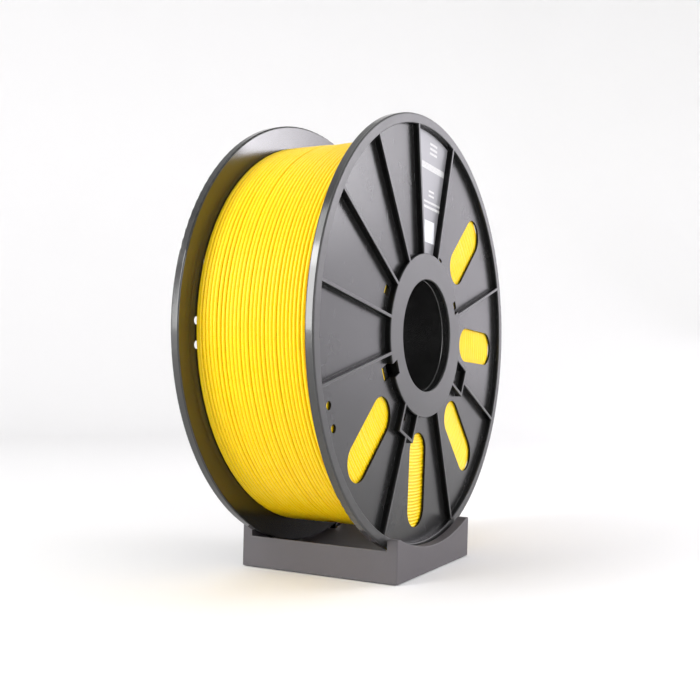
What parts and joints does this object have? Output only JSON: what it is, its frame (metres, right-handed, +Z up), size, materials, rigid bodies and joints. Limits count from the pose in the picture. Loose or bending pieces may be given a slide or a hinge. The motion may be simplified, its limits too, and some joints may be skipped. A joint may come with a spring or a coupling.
{
  "type": "spool holder stand",
  "caption": "Black spool of yellow filament standing on a small block stand with a concave cradle, where the spool turns on miniature ball-bearing rollers under its flanges.",
  "frame": {"origin": "middle of the stand's footprint, on the table", "axes": "+X along the spool's axis towards the labelled flange, -Y the front, +Z up"},
  "size_m": [0.0796, 0.2, 0.2082],
  "materials": {
    "stand_plastic": "satin black moulded plastic",
    "spool_plastic": "semi-gloss black moulded plastic",
    "filament": "glossy yellow filament",
    "label_paper": "plain white paper label",
    "axle_steel": "ground steel rod",
    "bearing_steel": "polished bearing steel",
    "screw_steel": "black oxide steel",
    "foot_rubber": "matt black rubber"
  },
  "bodies": {
    "stand": {"stand_body": "stand_plastic", "base_plate": "stand_plastic", "base_screws": "screw_steel", "axle_front": "axle_steel", "axle_rear": "axle_steel", "shims_front": "bearing_steel", "shims_rear": "bearing_steel", "foot_rear_right": "foot_rubber", "foot_rear_left": "foot_rubber", "foot_front_left": "foot_rubber", "foot_front_right": "foot_rubber", "bearing_rear_right_inner_race": "bearing_steel", "bearing_rear_left_inner_race": "bearing_steel", "bearing_front_left_inner_race": "bearing_steel", "bearing_front_right_inner_race": "bearing_steel"},
    "spool": {"labelled_flange": "spool_plastic", "plain_flange": "spool_plastic", "core_drum": "spool_plastic", "filament_winding": "filament", "spool_label": "label_paper"},
    "roller_rear_right": {"bearing_rear_right_outer_race": "bearing_steel", "bearing_rear_right_shields": "bearing_steel"},
    "ball_ring_rear_right": {"bearing_rear_right_balls": "bearing_steel", "bearing_rear_right_cage": "bearing_steel"},
    "roller_rear_left": {"bearing_rear_left_outer_race": "bearing_steel", "bearing_rear_left_shields": "bearing_steel"},
    "ball_ring_rear_left": {"bearing_rear_left_balls": "bearing_steel", "bearing_rear_left_cage": "bearing_steel"},
    "roller_front_left": {"bearing_front_left_outer_race": "bearing_steel", "bearing_front_left_shields": "bearing_steel"},
    "ball_ring_front_left": {"bearing_front_left_balls": "bearing_steel", "bearing_front_left_cage": "bearing_steel"},
    "roller_front_right": {"bearing_front_right_outer_race": "bearing_steel", "bearing_front_right_shields": "bearing_steel"},
    "ball_ring_front_right": {"bearing_front_right_balls": "bearing_steel", "bearing_front_right_cage": "bearing_steel"}
  },
  "joints": [
    {"name": "spool_spin", "type": "hinge", "parent": "stand", "child": "spool", "pos_m": [0, 0, 0.1082], "axis": [1, 0, 0], "continuous": true},
    {"name": "roller_rear_right_spin", "type": "hinge", "parent": "stand", "child": "roller_rear_right", "pos_m": [0.0313, 0.03, 0.00755], "axis": [1, 0, 0], "continuous": true},
    {"name": "ball_ring_rear_right_spin", "type": "hinge", "parent": "stand", "child": "ball_ring_rear_right", "pos_m": [0.0313, 0.03, 0.00755], "axis": [1, 0, 0], "continuous": true},
    {"name": "roller_rear_left_spin", "type": "hinge", "parent": "stand", "child": "roller_rear_left", "pos_m": [-0.0313, 0.03, 0.00755], "axis": [1, 0, 0], "continuous": true},
    {"name": "ball_ring_rear_left_spin", "type": "hinge", "parent": "stand", "child": "ball_ring_rear_left", "pos_m": [-0.0313, 0.03, 0.00755], "axis": [1, 0, 0], "continuous": true},
    {"name": "roller_front_left_spin", "type": "hinge", "parent": "stand", "child": "roller_front_left", "pos_m": [-0.0313, -0.03, 0.00755], "axis": [1, 0, 0], "continuous": true},
    {"name": "ball_ring_front_left_spin", "type": "hinge", "parent": "stand", "child": "ball_ring_front_left", "pos_m": [-0.0313, -0.03, 0.00755], "axis": [1, 0, 0], "continuous": true},
    {"name": "roller_front_right_spin", "type": "hinge", "parent": "stand", "child": "roller_front_right", "pos_m": [0.0313, -0.03, 0.00755], "axis": [1, 0, 0], "continuous": true},
    {"name": "ball_ring_front_right_spin", "type": "hinge", "parent": "stand", "child": "ball_ring_front_right", "pos_m": [0.0313, -0.03, 0.00755], "axis": [1, 0, 0], "continuous": true}
  ],
  "couplings": [
    {"joint": "roller_rear_right_spin", "follows": "spool_spin", "ratio": -20},
    {"joint": "ball_ring_rear_right_spin", "follows": "spool_spin", "ratio": -12.443},
    {"joint": "roller_rear_left_spin", "follows": "spool_spin", "ratio": -20},
    {"joint": "ball_ring_rear_left_spin", "follows": "spool_spin", "ratio": -12.443},
    {"joint": "roller_front_left_spin", "follows": "spool_spin", "ratio": -20},
    {"joint": "ball_ring_front_left_spin", "follows": "spool_spin", "ratio": -12.443},
    {"joint": "roller_front_right_spin", "follows": "spool_spin", "ratio": -20},
    {"joint": "ball_ring_front_right_spin", "follows": "spool_spin", "ratio": -12.443}
  ]
}
